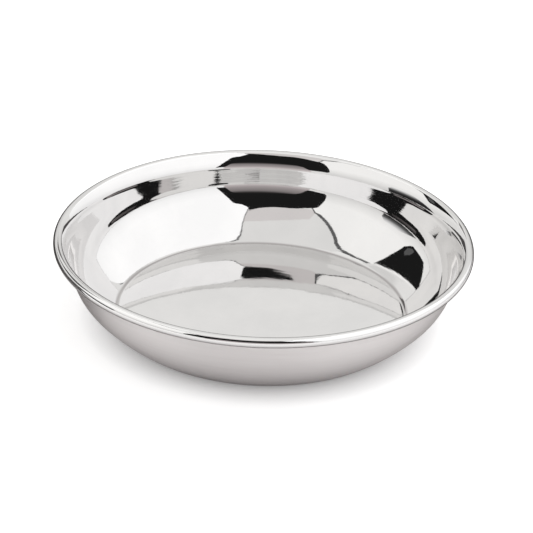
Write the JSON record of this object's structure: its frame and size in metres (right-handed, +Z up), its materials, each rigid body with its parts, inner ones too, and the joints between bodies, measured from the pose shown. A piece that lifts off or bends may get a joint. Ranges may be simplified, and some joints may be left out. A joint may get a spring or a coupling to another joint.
{
  "type": "deep round plate",
  "caption": "Deep round stainless steel plate: a pressed dish with a flat floor, a curved polished wall and a flared edge, rolled outwards over a stiffening wire.",
  "frame": {"origin": "centre of the flat base, on the table that it stands on", "axes": "+Z up along the axis of the dish, out of its mouth; X and Y alike, because the plate is round"},
  "size_m": [0.18, 0.18, 0.0366],
  "materials": {
    "polished_steel": "mirror polished inside and over the rim, satin outside",
    "wire_steel": "drawn wire"
  },
  "bodies": {
    "root": {"pressed_dish": "polished_steel", "rim_wire": "wire_steel"}
  },
  "joints": []
}
